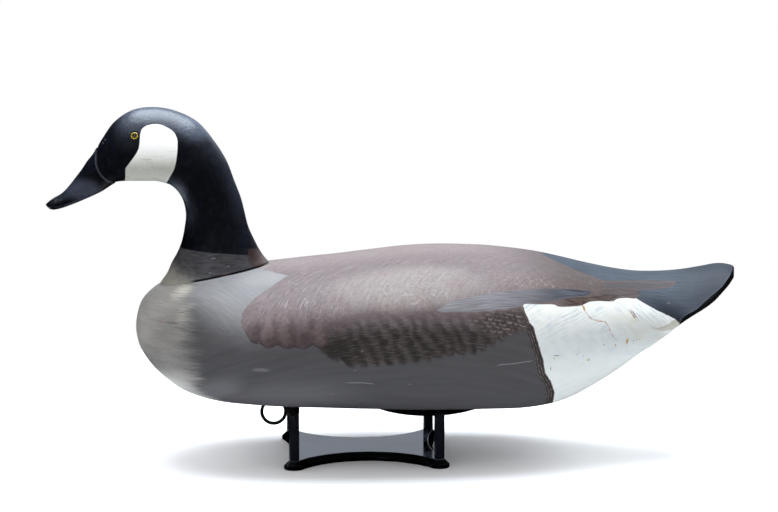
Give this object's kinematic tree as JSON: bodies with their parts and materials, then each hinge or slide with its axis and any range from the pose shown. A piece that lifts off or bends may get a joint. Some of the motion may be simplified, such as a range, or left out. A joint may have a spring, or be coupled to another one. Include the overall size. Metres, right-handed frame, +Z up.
{
  "type": "goose decoy",
  "caption": "Carved wooden goose decoy with painted plumage, glass eyes, a line ring and an underside weight, resting on a low black display stand.",
  "frame": {"origin": "on the floor under the middle of the whole object's box", "axes": "-X towards the bill, +X towards the tail, -Y towards the bird's left side, +Z up"},
  "size_m": [0.62, 0.228, 0.3151],
  "materials": {
    "body_paint": "satin",
    "head_paint": "satin",
    "eye_glass": "gloss",
    "wire": "satin",
    "lead": "matte",
    "stand_gloss": "gloss",
    "tip_rubber": "matte"
  },
  "bodies": {
    "root": {"body": "body_paint", "head_and_neck": "head_paint", "eye_left": "eye_glass", "eye_right": "eye_glass", "ring_staple": "wire", "line_ring": "wire", "ballast_weight": "lead", "stand_base": "stand_gloss", "stand_post_front_left": "stand_gloss", "stand_post_front_right": "stand_gloss", "stand_post_rear_left": "stand_gloss", "stand_post_rear_right": "stand_gloss", "post_tip_front_left": "tip_rubber", "post_tip_front_right": "tip_rubber", "post_tip_rear_left": "tip_rubber", "post_tip_rear_right": "tip_rubber"}
  },
  "joints": []
}
